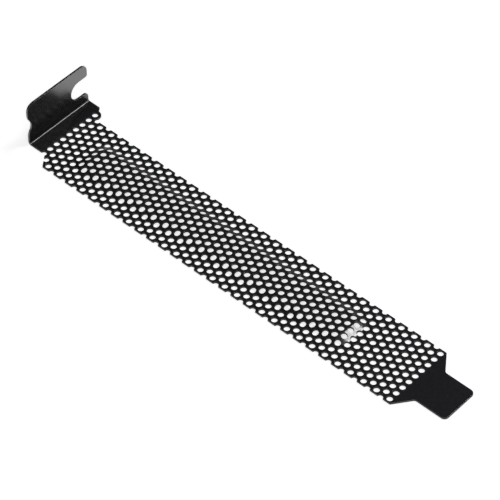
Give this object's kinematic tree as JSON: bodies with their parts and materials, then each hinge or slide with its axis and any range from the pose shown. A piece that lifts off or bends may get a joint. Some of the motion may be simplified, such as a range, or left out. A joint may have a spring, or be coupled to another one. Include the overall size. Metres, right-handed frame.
{
  "type": "pci slot cover bracket",
  "caption": "Folded sheet-steel cover for an empty expansion slot, with an open screw notch, a raised perforated panel and a tongue.",
  "frame": {"origin": "centre of the screw notch's round end, on the face of the flange that seats on the chassis", "axes": "+X along the strip towards the tongue, +Y across the strip towards the open side of the notch, +Z out of the strip's front, the way the flange and the panel stand up"},
  "size_m": [0.12, 0.0219, 0.0118],
  "materials": {
    "black_paint": "satin black powder coat on thin sheet steel"
  },
  "bodies": {
    "root": {"slot_cover": "black_paint"}
  },
  "joints": []
}
